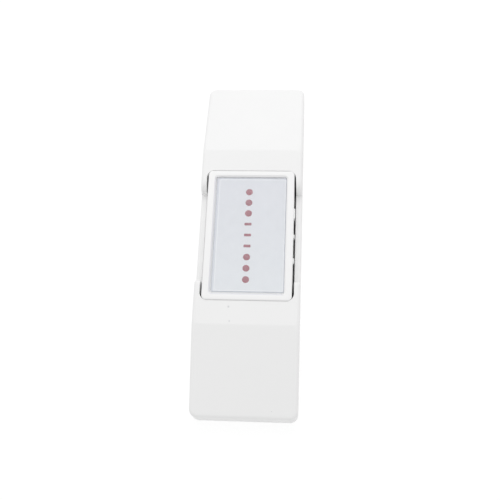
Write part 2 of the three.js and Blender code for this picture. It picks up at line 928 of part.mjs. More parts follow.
function terminals() {
  const metal = { roughness: 0.35, metalness: 0.9 };
  const group = new THREE.Group();
  group.add(piece("terminal_block", terminalBlock(), colours.terminal));
  terminalPlaces().forEach((x, i) => {
    group.add(piece(`terminal_clamp_${i + 1}`, terminalClamp(x), colours.brass, metal));
    group.add(piece(`terminal_screw_${i + 1}`, terminalScrew(x), colours.steel, metal));
  });
  return group;
}

const panicButton = new THREE.Group();
panicButton.name = "panic_button";
panicButton.add(housing(), button(), board(), snapSwitch(), terminals());

export default panicButton;
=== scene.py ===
"""A slim surface-mounted panic button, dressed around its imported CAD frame.

Lengths are in metres, in the frame of the CAD part: the origin is the centre of the flat back,
+X is to the right, +Y to the upper end and +Z out of the front.
"""

import json
import math
from collections import namedtuple

import bmesh
import bpy
import numpy as np
from mathutils import Euler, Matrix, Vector


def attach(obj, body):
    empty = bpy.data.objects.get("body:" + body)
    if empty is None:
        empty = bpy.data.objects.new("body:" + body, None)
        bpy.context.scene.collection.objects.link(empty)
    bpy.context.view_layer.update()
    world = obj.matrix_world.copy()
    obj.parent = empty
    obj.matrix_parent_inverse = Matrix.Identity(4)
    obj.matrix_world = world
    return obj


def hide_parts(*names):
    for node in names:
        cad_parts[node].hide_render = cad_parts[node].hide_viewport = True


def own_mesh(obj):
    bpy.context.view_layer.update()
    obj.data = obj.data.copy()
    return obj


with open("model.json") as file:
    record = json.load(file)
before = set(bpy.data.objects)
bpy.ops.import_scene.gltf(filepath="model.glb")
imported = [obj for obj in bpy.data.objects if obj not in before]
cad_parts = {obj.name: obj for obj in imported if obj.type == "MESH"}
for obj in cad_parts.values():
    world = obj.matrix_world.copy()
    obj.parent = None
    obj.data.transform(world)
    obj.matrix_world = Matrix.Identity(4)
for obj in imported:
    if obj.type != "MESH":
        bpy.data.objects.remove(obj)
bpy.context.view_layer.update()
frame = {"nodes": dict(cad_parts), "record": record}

MM = 0.001

# Camera, as fitted to the photograph
CAMERA_PLACE = (24.126 * MM, -108.509 * MM, 295.104 * MM)
CAMERA_TURN = (0.352, 0.069, 0.041)
SENSOR_WIDTH = 36.0
FOCAL_PIXELS = 782.252
FRAME_PIXELS = 500.0
CLIP_NEAR = 0.01
CLIP_FAR = 20.0

# Light: an even white room and one broad lamp low over the upper end
WORLD_STRENGTH = 0.80
KEY_DIRECTION = (-0.05, 0.70, 0.71)
KEY_DISTANCE = 0.9
KEY_SIZE = 0.7
KEY_POWER = 2.0
FLOOR_HALF = 1.5
FLOOR_COLOUR = (0.92, 0.92, 0.92)
FLOOR_GLOW_SHARE = 0.75
FLOOR_GLOW = 1.09

# Housing
BODY_HALF_WIDTH = 20.0
BODY_HALF_LENGTH = 69.0
PLATEAU = 16.1
END_HEIGHT = 7.9
CREASE_Y = 35.9
PLAN_RADIUS = 3.0
LONG_EDGE_RADIUS = 1.2
END_EDGE_RADIUS = 1.5
SIDE_WALL = 2.28
END_WALL = 2.2
TOP_WALL = 2.2
CAVITY_RADIUS = 1.0
CAVITY_END_RADIUS = 0.6
RAIL_WALL = 0.9
SCUFF_PLACES = ((-6.5, -29.2), (-5.9, -34.7))
SCUFF_RADII = (0.6, 0.45)
FOOT_ROUND = 0.25

# Window of the housing and the notches of its side rails
WINDOW_MIDDLE_Y = 0.05
WINDOW_HALF_LENGTH = 26.7
WINDOW_RADIUS = 3.0
WINDOW_ROUND = 0.15
WINDOW_UPPER_TAPER = 0.22
NOTCH_FLOOR = 11.4
NOTCH_UPPER_Y = 18.3
NOTCH_LOWER_Y = -18.8
NOTCH_UPPER_ROLL = 4.2
NOTCH_LOWER_ROLL = 1.5
NOTCH_EDGE_RADIUS = 0.7

# Press plate
BUTTON_PROUD = 0.5
BUTTON_SIDE_GAP = 0.77
BUTTON_LOWER_GAP = 0.06
BUTTON_UPPER_GAP = 0.3
BUTTON_RADIUS = 1.8
BUTTON_ROUND = 0.4
SKIRT_WALL = 1.5
SKIRT_DEPTH = 7.2
SKIRT_ROUND = 0.2
BEZEL_WIDTH = 2.5
BEZEL_END_WIDTH = 2.0
LEDGE_WIDTH = 0.45
LEDGE_DEPTH = 0.3
POCKET_RADIUS = 0.9
POCKET_EDGE = 0.08
POCKET_EDGE_DROP = 0.06
INNER_ROUND = 0.12
CROWN = 0.04
CROWN_START = 0.15
CROWN_ROWS = 6
CROWN_EDGE_SHARE = 0.3
WINDOW_PLATE_RECESS = 0.3
WINDOW_PLATE_THICKNESS = 0.5
WINDOW_PLATE_EDGE = 0.12
WINDOW_PLATE_RIM_DROP = 0.02
POCKET_GAP = 0.2
PRINT_HEIGHT = 0.1
CARD_THICKNESS = 0.3
CARD_RADIUS = 0.5
CARD_EDGE = 0.05
CARD_FLAT_INSET = 0.6
CARD_FLAT_RADIUS = 0.2
CARD_SIDE_MARGIN = 0.25
CARD_END_MARGIN = 0.6
CARD_SHIFT_X = 0.2
CARD_SHIFT_Y = 0.3
LABEL_EDGE = 0.22
LABEL_LEFT_MARGIN = 0.7
LABEL_TOP_MARGIN = 0.33
LABEL_BORDER = 0.45
LABEL_BORDER_WIDTH = 0.34
WEB_THICKNESS = 1.0
MARK_COUNT = 9
MARK_PITCH = 4.5
MARK_MIDDLE_X = -0.6
MARK_MIDDLE_Y = -0.4
BAR_HALF_WIDTH = 1.35
BAR_HALF_LENGTH = 0.55
BAR_RADIUS = 0.25
DOT_RADIUS = 1.35
INK_THICKNESS = 0.03
INK_SINK = 0.01
GUIDE_RIBS = ((10.0, 4.0), (0.5, 1.2), (-9.5, 1.8))
GUIDE_RIB_TOP = 3.6
RUNNING_GAP = 0.3
LIP_REACH = 2.0
LIP_THICKNESS = 1.2
LIP_WIDTH = 5.0
LIP_SPACING = 16.0
SPRING_SPACING = 36.0
SPRING_MIDDLE_Y = -0.64
SPRING_RADIUS = 2.95
SPRING_WIRE_RADIUS = 0.25
SPRING_TURNS = 7
SPRING_FOOT = 2.2
SPRING_TOP_GAP = 0.2
SPRING_PEG_RADIUS = 2.0
SPRING_PEG_LENGTH = 3.0
SPRING_PEG_TIP = 0.3

# The clear window's slightly crowned face: inset, corner radius and drop of its inner rings
WINDOW_PLATE_CROWN = ((2.0, 1.5, 0.005), (8.0, 2.0, 0.0))

# Radii of the small blocks: round their upright corners, and along their top and bottom edges
RIB_ROUNDS = (0.15, 0.12)
LIP_ROUNDS = (0.4, 0.15)
PAD_ROUNDS = (0.3, 0.15)

# Bevels of the moulded pieces that keep their CAD form
EASED = {
    "back_plate": 0.18,
    "circuit_board": 0.06,
    "switch_body": 0.15,
    "switch_plunger": 0.12,
    "terminal_block": 0.15,
}
BEVEL_SEGMENTS = 2
BEVEL_LIMIT = 35.0
FLAT_LIMIT = 0.5

# Steps of the surfaces, and the shares of the way at which their straight stretches have rows
CORNER_STEPS = 6
NOSE_STEPS = 7
NOTCH_STATIONS = 15
SIDE_STEPS = 8
PLAN_STEPS = 8
END_STEPS = 12
EDGE_STEPS = 6
SLAB_SHARES = (0.0, 0.01, 0.1, 0.3, 0.6, 0.9, 0.98, 1.0)
FLAT_SHARES = (0.0, 0.04, 0.3, 0.7, 0.96, 1.0)
CEILING_SHARES = (0.0, 0.5, 1.0)
TURN_STEPS = 40
WIRE_SIDES = 12
MERGE_GAP = 0.002
SHORTEST_EDGE = 0.001
SHARP_ANGLE = 40.0
BUTTON_SHARP_ANGLE = 35.0
SOFT_SHARP_ANGLE = 60.0

# Moulded plastic, and the cover's own colours
COVER_WHITE = (0.900, 0.900, 0.899)
COVER_SHADE = (0.886, 0.886, 0.886)
MOTTLE_SCALE = 45.0
MOTTLE_START = 0.35
MOTTLE_GAIN = 1.6
RIPPLE_SCALE = 160.0
RIPPLE_SWING = 0.16
RIPPLE_HEIGHT = 0.5
GRAIN_SCALE = 2500.0
GRAIN_ROUGHNESS = 0.6
SPECK_SCALE = 190.0
SPECK_SIZE = 0.06
SPECK_RARITY = 0.93
SPECK_TONE = (0.25, 0.25, 0.25)
RELIEF = 0.05

# Worked metal
LINE_STRETCH = (1.0, 14.0, 14.0)
LINE_SCALE = 420.0
LINE_ROUGHNESS = 0.65
LINE_SPREAD = 0.18
PATCH_SCALE = 260.0
PATCH_START = 0.45
PATCH_GAIN = 3.0
PATCH_SPREAD = 0.12
METAL_BUMP = 0.2

# Clear window
CLEAR_IOR = 1.45
CLEAR_TINTS = ((0.90, 0.92, 0.95), (0.86, 0.89, 0.93))
HAZE_SCALE = 300.0
CLEAR_ROUGHNESS = 0.04
HAZE_ROUGHNESS = 0.12
CLEAR_ALPHA = 0.10
HAZE_ALPHA = 0.04

# Label film: its tone at the top, darkened there by painted shade, and at the foot, then what is laid over it
# and how strongly
LABEL_TOP_PAINTED_SHADE = (0.750, 0.757, 0.800)
LABEL_FOOT_TONE = (0.835, 0.858, 0.880)
LABEL_LAYERS = {
    "drift": (0.25, (0.790, 0.806, 0.840)),
    "flake": (0.90, (0.86, 0.88, 0.90)),
    # painted shade: a darker band round the card's edge, widest at the left and the top
    "painted shade margin": (0.30, (0.58, 0.61, 0.70)),
    "border": (0.75, (0.95, 0.96, 0.97)),
    # painted shadow: a dark line all round the card's edge
    "painted edge shadow": (0.55, (0.36, 0.39, 0.46)),
}
DRIFT_SCALE = 60.0
FLAKE_SCALE = 1400.0
FLAKE_ROUGHNESS = 0.7
FLAKE_START = 0.40
FILM_ROUGHNESS = 0.25
FILM_BUMP = 0.15
FILM_RELIEF = 0.03

# Scuffs
SCUFF_SCALE = 3000.0
SCUFF_LEAST = 0.4
SCUFF_TONE = (0.62, 0.63, 0.65)

# Worked out from the sizes above
SLOPE = math.atan2(PLATEAU - END_HEIGHT, BODY_HALF_LENGTH - CREASE_Y)
INNER_HALF_WIDTH = BODY_HALF_WIDTH - SIDE_WALL
INNER_HALF_LENGTH = BODY_HALF_LENGTH - END_WALL
CEILING = PLATEAU - TOP_WALL
INNER_CREASE_Y = CREASE_Y - TOP_WALL * math.tan(SLOPE / 2)
WINDOW_UPPER_Y = WINDOW_MIDDLE_Y + WINDOW_HALF_LENGTH
WINDOW_LOWER_Y = WINDOW_MIDDLE_Y - WINDOW_HALF_LENGTH
BUTTON_HALF_WIDTH = INNER_HALF_WIDTH - BUTTON_SIDE_GAP
BUTTON_UPPER_Y = WINDOW_UPPER_Y - BUTTON_UPPER_GAP
BUTTON_LOWER_Y = WINDOW_LOWER_Y + BUTTON_LOWER_GAP
BUTTON_MIDDLE_Y = (BUTTON_UPPER_Y + BUTTON_LOWER_Y) / 2
BUTTON_HALF_LENGTH = (BUTTON_UPPER_Y - BUTTON_LOWER_Y) / 2
BUTTON_TOP = PLATEAU + BUTTON_PROUD
SKIRT_BOTTOM = BUTTON_TOP - SKIRT_DEPTH
PLATE_TOP = BUTTON_TOP - WINDOW_PLATE_RECESS
PLATE_BOTTOM = PLATE_TOP - WINDOW_PLATE_THICKNESS
CARD_FACE = PLATE_BOTTOM - PRINT_HEIGHT
WEB_TOP = CARD_FACE - CARD_THICKNESS
WEB_BOTTOM = WEB_TOP - WEB_THICKNESS
POCKET_HALF_WIDTH = BUTTON_HALF_WIDTH - BEZEL_WIDTH - LEDGE_WIDTH
POCKET_HALF_LENGTH = BUTTON_HALF_LENGTH - BEZEL_END_WIDTH - LEDGE_WIDTH
CARD_HALF_WIDTH = POCKET_HALF_WIDTH - CARD_SIDE_MARGIN
CARD_HALF_LENGTH = POCKET_HALF_LENGTH - CARD_END_MARGIN
CARD_MIDDLE_Y = BUTTON_MIDDLE_Y + CARD_SHIFT_Y

# The pad under the press plate that works the switch's lever: its reach along X, Y and Z
PRESS_PAD = ((-1.2, 1.2), (-7.7, -5.3), (12.6, WEB_BOTTOM + WEB_THICKNESS / 2))


# Camera, light and floor


def make_camera():
    data = bpy.data.cameras.new("photo_camera")
    data.sensor_width = SENSOR_WIDTH
    data.lens = FOCAL_PIXELS / FRAME_PIXELS * SENSOR_WIDTH
    data.clip_start = CLIP_NEAR
    data.clip_end = CLIP_FAR
    camera = bpy.data.objects.new("photo_camera", data)
    camera.location = CAMERA_PLACE
    camera.rotation_euler = Euler(CAMERA_TURN, "XYZ")
    bpy.context.scene.collection.objects.link(camera)
    bpy.context.scene.camera = camera


def make_key_light():
    direction = Vector(KEY_DIRECTION).normalized()
    data = bpy.data.lights.new("key_light", "AREA")
    data.shape = "DISK"
    data.size = KEY_SIZE
    data.energy = KEY_POWER
    lamp = bpy.data.objects.new("key_light", data)
    lamp.location = direction * KEY_DISTANCE
    lamp.rotation_euler = direction.to_track_quat("Z", "Y").to_euler()
    bpy.context.scene.collection.objects.link(lamp)


def seen_directly(tree):
    """A mask that is 1 for camera, mirror and see-through rays, and 0 for the rays that carry light."""
    path = tree.nodes.new("ShaderNodeLightPath").outputs
    total = path["Is Camera Ray"]
    for ray in ("Is Glossy Ray", "Is Transmission Ray"):
        total = math_node(tree, "ADD", total, path[ray], True)
    return total


def make_world():
    world = bpy.data.worlds.new("studio")
    world.use_nodes = True
    tree = world.node_tree
    tree.nodes.clear()
    output = tree.nodes.new("ShaderNodeOutputWorld")
    shade = tree.nodes.new("ShaderNodeBackground")
    backdrop = tree.nodes.new("ShaderNodeBackground")
    mix = tree.nodes.new("ShaderNodeMixShader")
    shade.inputs["Strength"].default_value = WORLD_STRENGTH
    shade.inputs["Color"].default_value = (1.0, 1.0, 1.0, 1.0)
    backdrop.inputs["Strength"].default_value = 1.0
    backdrop.inputs["Color"].default_value = (1.0, 1.0, 1.0, 1.0)
    tree.links.new(seen_directly(tree), mix.inputs["Fac"])
    tree.links.new(shade.outputs[0], mix.inputs[1])
    tree.links.new(backdrop.outputs[0], mix.inputs[2])
    tree.links.new(mix.outputs[0], output.inputs["Surface"])
    bpy.context.scene.world = world


def make_floor():
    h = FLOOR_HALF
    mesh = bpy.data.meshes.new("floor")
    mesh.from_pydata([(-h, -h, 0), (h, -h, 0), (h, h, 0), (-h, h, 0)], [], [(0, 1, 2, 3)])
    floor = bpy.data.objects.new("floor", mesh)
    bpy.context.scene.collection.objects.link(floor)
    material = bpy.data.materials.new("floor_white")
    material.use_nodes = True
    tree = material.node_tree
    tree.nodes.clear()
    output = tree.nodes.new("ShaderNodeOutputMaterial")
    matt = tree.nodes.new("ShaderNodeBsdfDiffuse")
    matt.inputs["Color"].default_value = (*FLOOR_COLOUR, 1.0)
    glow = tree.nodes.new("ShaderNodeEmission")
    glow.inputs["Strength"].default_value = FLOOR_GLOW
    share = math_node(tree, "MULTIPLY", seen_directly(tree), FLOOR_GLOW_SHARE)
    mix = tree.nodes.new("ShaderNodeMixShader")
    tree.links.new(share, mix.inputs["Fac"])
    tree.links.new(matt.outputs[0], mix.inputs[1])
    tree.links.new(glow.outputs[0], mix.inputs[2])
    tree.links.new(mix.outputs[0], output.inputs["Surface"])
    mesh.materials.append(material)


# Shared effects, as node groups


def new_group(name, settings):
    """A node group that takes a place and named settings, and gives a colour, a roughness and a height."""
    group = bpy.data.node_groups.new(name, "ShaderNodeTree")
    kinds = {"Colour": "NodeSocketColor", "Shade": "NodeSocketColor", "Vector": "NodeSocketVector"}
    for way, sockets in (
        ("INPUT", ("Vector", "Colour", "Shade", *settings)),
        ("OUTPUT", ("Colour", "Roughness", "Height")),
    ):
        for socket in sockets:
            kind = kinds.get(socket, "NodeSocketFloat")
            group.interface.new_socket(name=socket, in_out=way, socket_type=kind)
    entry = group.nodes.new("NodeGroupInput")
    leave = group.nodes.new("NodeGroupOutput")
    return group, entry.outputs, leave.inputs


def math_node(tree, operation, a, b=None, clamp=False):
    node = tree.nodes.new("ShaderNodeMath")
    node.operation = operation
    node.use_clamp = clamp
    for socket, value in zip(node.inputs, (a, b)):
        if isinstance(value, (int, float)):
            socket.default_value = value
        elif value is not None:
            tree.links.new(value, socket)
    return node.outputs[0]


def noise_node(tree, vector, scale, detail, roughness=0.5):
    node = tree.nodes.new("ShaderNodeTexNoise")
    node.inputs["Detail"].default_value = detail
    node.inputs["Roughness"].default_value = roughness
    tree.links.new(vector, node.inputs["Vector"])
    if isinstance(scale, (int, float)):
        node.inputs["Scale"].default_value = scale
    else:
        tree.links.new(scale, node.inputs["Scale"])
    return node.outputs["Fac"]


# Where a Mix node's two colour sockets lie among its inputs, which share their names with other kinds
COLOUR_SOCKETS = slice(6, 8)


def mix_colour(tree, factor, a, b):
    node = tree.nodes.new("ShaderNodeMix")
    node.data_type = "RGBA"
    tree.links.new(factor, node.inputs["Factor"])
    for value, socket in zip((a, b), node.inputs[COLOUR_SOCKETS]):
        if isinstance(value, tuple):
            socket.default_value = (*value, 1.0)
        else:
            tree.links.new(value, socket)
    return node.outputs[2]


def ramp(tree, value, start, gain):
    """How far a value lies over its start, times a gain, kept between 0 and 1."""
    return math_node(tree, "MULTIPLY", math_node(tree, "SUBTRACT", value, start, True), gain, True)


def moulded_group():
    """Moulded plastic: slow mottling of the colour, fine satin grain and a few tiny dark specks."""
    group, entry, leave = new_group("moulded_plastic", ("Roughness", "Grain Scale", "Speck Amount"))
    vector = entry["Vector"]
    mottle = ramp(group, noise_node(group, vector, MOTTLE_SCALE, 3.0), MOTTLE_START, MOTTLE_GAIN)
    mottled = mix_colour(group, mottle, entry["Colour"], entry["Shade"])
    cells = group.nodes.new("ShaderNodeTexVoronoi")
    cells.inputs["Scale"].default_value = SPECK_SCALE
    group.links.new(vector, cells.inputs["Vector"])
    tone = group.nodes.new("ShaderNodeSeparateColor")
    group.links.new(cells.outputs["Color"], tone.inputs["Color"])
    near = math_node(group, "LESS_THAN", cells.outputs["Distance"], SPECK_SIZE)
    few = math_node(group, "GREATER_THAN", tone.outputs[0], SPECK_RARITY)
    speck = math_node(group, "MULTIPLY", math_node(group, "MULTIPLY", near, few), entry["Speck Amount"])
    group.links.new(mix_colour(group, speck, mottled, SPECK_TONE), leave["Colour"])
    ripple = noise_node(group, vector, RIPPLE_SCALE, 2.0)
    swing = math_node(group, "MULTIPLY", math_node(group, "SUBTRACT", ripple, 0.5), RIPPLE_SWING)
    group.links.new(math_node(group, "ADD", entry["Roughness"], swing, True), leave["Roughness"])
    grain = noise_node(group, vector, entry["Grain Scale"], 2.0, GRAIN_ROUGHNESS)
    height = math_node(group, "ADD", math_node(group, "MULTIPLY", ripple, RIPPLE_HEIGHT), grain)
    group.links.new(height, leave["Height"])
    return group


def metal_group():
    """Worked metal: fine lines drawn along one axis, with dull patches between them."""
    group, entry, leave = new_group("worked_metal", ("Roughness",))
    stretch = group.nodes.new("ShaderNodeMapping")
    stretch.inputs["Scale"].default_value = LINE_STRETCH
    group.links.new(entry["Vector"], stretch.inputs["Vector"])
    lines = noise_node(group, stretch.outputs[0], LINE_SCALE, 3.0, LINE_ROUGHNESS)
    worn = ramp(group, noise_node(group, entry["Vector"], PATCH_SCALE, 3.0), PATCH_START, PATCH_GAIN)
    group.links.new(mix_colour(group, worn, entry["Colour"], entry["Shade"]), leave["Colour"])
    spread = math_node(group, "MULTIPLY", lines, LINE_SPREAD)
    total = math_node(group, "ADD", spread, math_node(group, "MULTIPLY", worn, PATCH_SPREAD))
    group.links.new(math_node(group, "ADD", entry["Roughness"], total, True), leave["Roughness"])
    group.links.new(lines, leave["Height"])
    return group


GROUPS = {"moulded": moulded_group(), "metal": metal_group()}


# Materials


def principled(name):
    """A new material, its tree, its Principled shader and the place on the object, in metres."""
    material = bpy.data.materials.new(name)
    material.use_nodes = True
    tree = material.node_tree
    place = tree.nodes.new("ShaderNodeTexCoord").outputs["Object"]
    return material, tree, tree.nodes["Principled BSDF"], place


def add_bump(tree, shader, height, strength, relief):
    """Bump from a height value, with its relief in millimetres."""
    bump = tree.nodes.new("ShaderNodeBump")
    bump.inputs["Strength"].default_value = strength
    bump.inputs["Distance"].default_value = relief * MM
    tree.links.new(height, bump.inputs["Height"])
    tree.links.new(bump.outputs["Normal"], shader.inputs["Normal"])


def grouped_material(name, kind, settings, bump, metallic=0.0):
    """A Principled surface whose colour, roughness and bump come from one of the shared groups."""
    material, tree, shader, place = principled(name)
    shader.inputs["Metallic"].default_value = metallic
    effect = tree.nodes.new("ShaderNodeGroup")
    effect.node_tree = GROUPS[kind]
    tree.links.new(place, effect.inputs["Vector"])
    for socket, value in settings.items():
        effect.inputs[socket].default_value = (*value, 1.0) if isinstance(value, tuple) else value
    add_bump(tree, shader, effect.outputs["Height"], bump, RELIEF)
    tree.links.new(effect.outputs["Colour"], shader.inputs["Base Color"])
    tree.links.new(effect.outputs["Roughness"], shader.inputs["Roughness"])
    return material


def moulded(name, colour, shade, roughness, bump, specks=0.0, grain=GRAIN_SCALE):
    settings = {
        "Colour": colour,
        "Shade": shade,
        "Roughness": roughness,
        "Grain Scale": grain,
        "Speck Amount": specks,
    }
    return grouped_material(name, "moulded", settings, bump)


def metal(name, colour, dull, roughness):
    settings = {"Colour": colour, "Shade": dull, "Roughness": roughness}
    return grouped_material(name, "metal", settings, METAL_BUMP, metallic=1.0)


def clear_plate():
    """The clear window: mostly see-through, with a faint cool tint and a polished face."""
    material, tree, shader, place = principled("window_clear")
    shader.inputs["IOR"].default_value = CLEAR_IOR
    haze = noise_node(tree, place, HAZE_SCALE, 3.0)
    tree.links.new(mix_colour(tree, haze, *CLEAR_TINTS), shader.inputs["Base Color"])
    for socket, least, swing in (
        ("Roughness", CLEAR_ROUGHNESS, HAZE_ROUGHNESS),
        ("Alpha", CLEAR_ALPHA, HAZE_ALPHA),
    ):
        value = math_node(tree, "ADD", math_node(tree, "MULTIPLY", haze, swing), least)
        tree.links.new(value, shader.inputs[socket])
    return material


def band(tree, distance, place, half_width):
    """A mask that is 1 where a distance, in metres, lies within half a width of a place, in millimetres."""
    node = tree.nodes.new("ShaderNodeMath")
    node.operation = "COMPARE"
    node.inputs[1].default_value = place
    node.inputs[2].default_value = half_width
    tree.links.new(math_node(tree, "DIVIDE", distance, MM), node.inputs[0])
    return node.outputs[0]


def label_masks(tree, place):
    """Where the film's layers lie. Each is worked out from the distances to the card's four edges: the
    painted edge shadow runs all round, and the painted shade margin and the border line lie further in at the
    left and the top."""
    centre = tree.nodes.new("ShaderNodeMapping")
    centre.inputs["Location"].default_value = (-CARD_SHIFT_X * MM, -CARD_MIDDLE_Y * MM, 0.0)
    tree.links.new(place, centre.inputs["Vector"])
    axes = tree.nodes.new("ShaderNodeSeparateXYZ")
    tree.links.new(centre.outputs[0], axes.inputs[0])
    left = math_node(tree, "ADD", axes.outputs[0], CARD_HALF_WIDTH * MM)
    right = math_node(tree, "SUBTRACT", CARD_HALF_WIDTH * MM, axes.outputs[0])
    bottom = math_node(tree, "ADD", axes.outputs[1], CARD_HALF_LENGTH * MM)
    top = math_node(tree, "SUBTRACT", CARD_HALF_LENGTH * MM, axes.outputs[1])
    sides = math_node(tree, "MINIMUM", left, right)
    ends = math_node(tree, "MINIMUM", bottom, top)
    inner_left = math_node(tree, "SUBTRACT", left, LABEL_LEFT_MARGIN * MM)
    inner_top = math_node(tree, "SUBTRACT", top, LABEL_TOP_MARGIN * MM)
    border_x = math_node(tree, "MINIMUM", inner_left, right)
    border_y = math_node(tree, "MINIMUM", inner_top, bottom)
    inside = math_node(tree, "MINIMUM", border_x, border_y)
    line_start = LABEL_BORDER - LABEL_BORDER_WIDTH / 2
    return {
        # runs from 0 at the top to 1 at the foot, and carries the film's painted shading
        "fall": math_node(tree, "DIVIDE", top, 2 * CARD_HALF_LENGTH * MM, True),
        # painted shade margin, widest at the left and the top
        "painted shade margin": math_node(tree, "LESS_THAN", inside, line_start * MM),
        "border": band(tree, inside, LABEL_BORDER, LABEL_BORDER_WIDTH / 2),
        # painted shadow along the card's edge
        "painted edge shadow": math_node(tree, "LESS_THAN", math_node(tree, "MINIMUM", sides, ends), LABEL_EDGE * MM),
    }


def label_film():
    """Silver-grey film: fine flake, painted shade that darkens the tone from a paler green-grey at the foot
    to lilac at the top, a dark painted edge shadow all round, a painted shade margin at the left and top, and
    a pale border line."""
    material, tree, shader, place = principled("label_silver")
    masks = label_masks(tree, place)
    flake = noise_node(tree, place, FLAKE_SCALE, 4.0, FLAKE_ROUGHNESS)
    masks["drift"] = noise_node(tree, place, DRIFT_SCALE, 2.0)
    masks["flake"] = math_node(tree, "SUBTRACT", flake, FLAKE_START, True)
    # painted shade: the film is darker at the top and paler at the foot
    body = mix_colour(tree, masks["fall"], LABEL_TOP_PAINTED_SHADE, LABEL_FOOT_TONE)
    for layer, (strength, tone) in LABEL_LAYERS.items():
        body = mix_colour(tree, math_node(tree, "MULTIPLY", masks[layer], strength), body, tone)
    tree.links.new(body, shader.inputs["Base Color"])
    satin = math_node(tree, "ADD", math_node(tree, "MULTIPLY", flake, FILM_ROUGHNESS), FILM_ROUGHNESS)
    tree.links.new(satin, shader.inputs["Roughness"])
    add_bump(tree, shader, flake, FILM_BUMP, FILM_RELIEF)
    return material


def cover_plastic():
    """The cover's white plastic, with two faint grey scuffs on the lower half of its flat middle."""
    material = moulded("cover_white", COVER_WHITE, COVER_SHADE, roughness=0.46, bump=0.22, specks=0.3)
    tree = material.node_tree
    shader = tree.nodes["Principled BSDF"]
    clean = shader.inputs["Base Color"].links[0].from_socket
    place = tree.nodes.new("ShaderNodeTexCoord").outputs["Object"]
    scuffs = 0.0
    for (x, y), radius in zip(SCUFF_PLACES, SCUFF_RADII):
        away = tree.nodes.new("ShaderNodeVectorMath")
        away.operation = "DISTANCE"
        tree.links.new(place, away.inputs[0])
        away.inputs[1].default_value = (x * MM, y * MM, PLATEAU * MM)
        share = math_node(tree, "DIVIDE", away.outputs["Value"], radius * MM)
        near = math_node(tree, "SUBTRACT", 1.0, share, True)
        scuffs = math_node(tree, "MAXIMUM", scuffs, near)
    mottle = math_node(tree, "ADD", noise_node(tree, place, SCUFF_SCALE, 2.0), SCUFF_LEAST)
    strength = math_node(tree, "MULTIPLY", scuffs, mottle, True)
    tree.links.new(mix_colour(tree, strength, clean, SCUFF_TONE), shader.inputs["Base Color"])
    return material


MATERIALS = {
    "cover_white": cover_plastic(),
    "plate_white": moulded("plate_white", (0.82, 0.82, 0.81), (0.78, 0.78, 0.77), 0.5, 0.3),
    "button_white": moulded(
        "button_white", (0.925, 0.925, 0.926), (0.912, 0.912, 0.913), 0.38, 0.18, specks=0.3
    ),
    # painted shade: a darker lilac-grey for the ledge in the pocket's recess, shown at its left and foot
    "ledge_painted_shade": moulded("ledge_painted_shade", (0.83, 0.83, 0.865), (0.80, 0.80, 0.84), 0.35, 0.1),
    "window_clear": clear_plate(),
    "label_silver": label_film(),
    "print_red": moulded(
        "print_red", (0.32, 0.045, 0.075), (0.40, 0.075, 0.110), 0.35, 0.15, grain=1800.0
    ),
    "spring_steel": metal("spring_steel", (0.62, 0.63, 0.65), (0.48, 0.48, 0.49), 0.22),
    "screw_steel": metal("screw_steel", (0.66, 0.67, 0.69), (0.50, 0.51, 0.50), 0.30),
    "contact_brass": metal("contact_brass", (0.76, 0.62, 0.34), (0.58, 0.44, 0.22), 0.28),
    "board_green": moulded("board_green", (0.06, 0.24, 0.11), (0.045, 0.19, 0.09), 0.28, 0.3),
    "switch_black": moulded("switch_black", (0.045, 0.045, 0.05), (0.06, 0.06, 0.062), 0.5, 0.35),
    "plunger_red": moulded("plunger_red", (0.50, 0.08, 0.06), (0.42, 0.065, 0.05), 0.42, 0.25),
    "terminal_green": moulded("terminal_green", (0.09, 0.36, 0.22), (0.07, 0.30, 0.18), 0.42, 0.3),
}


# Mesh helpers


def grid_faces(rows, columns, start=0, closed=False):
    """Quads between neighbouring rows and columns; a closed grid joins its last column to its first."""
    last = columns if closed else columns - 1
    row, column = np.meshgrid(np.arange(rows - 1), np.arange(last), indexing="ij")
    following = (column + 1) % columns
    corners = (
        row * columns + column,
        row * columns + following,
        (row + 1) * columns + following,
        (row + 1) * columns + column,
    )
    return np.stack(corners, axis=-1).reshape(-1, 4) + start


class Shell:
    """Collects point grids and flat caps, in millimetres, and makes one closed mesh of them."""

    def __init__(self):
        self.points = []
        self.faces = []
        self.count = 0

    def grid(self, points, closed=False):
        points = np.asarray(points, float)
        rows, columns = points.shape[:2]
        self.faces.extend(grid_faces(rows, columns, self.count, closed).tolist())
        self.points.append(points.reshape(-1, 3))
        self.count += rows * columns

    def cap(self, loop):
        loop = np.asarray(loop, float)
        self.faces.append(list(range(self.count, self.count + len(loop))))
        self.points.append(loop)
        self.count += len(loop)

    def make(self, name, material, sharp=SHARP_ANGLE):
        mesh = bpy.data.meshes.new(name)
        points = np.concatenate(self.points) * MM
        mesh.from_pydata(points.tolist(), [], self.faces)
        work = bmesh.new()
        work.from_mesh(mesh)
        bmesh.ops.remove_doubles(work, verts=work.verts, dist=MERGE_GAP * MM)
        bmesh.ops.dissolve_degenerate(work, edges=work.edges, dist=SHORTEST_EDGE * MM)
        bmesh.ops.recalc_face_normals(work, faces=work.faces)
        work.to_mesh(mesh)
        work.free()
        mesh.shade_smooth()
        mesh.set_sharp_from_angle(angle=math.radians(sharp))
        mesh.materials.append(material)
        made = bpy.data.objects.new(name, mesh)
        bpy.context.scene.collection.objects.link(made)
        return made


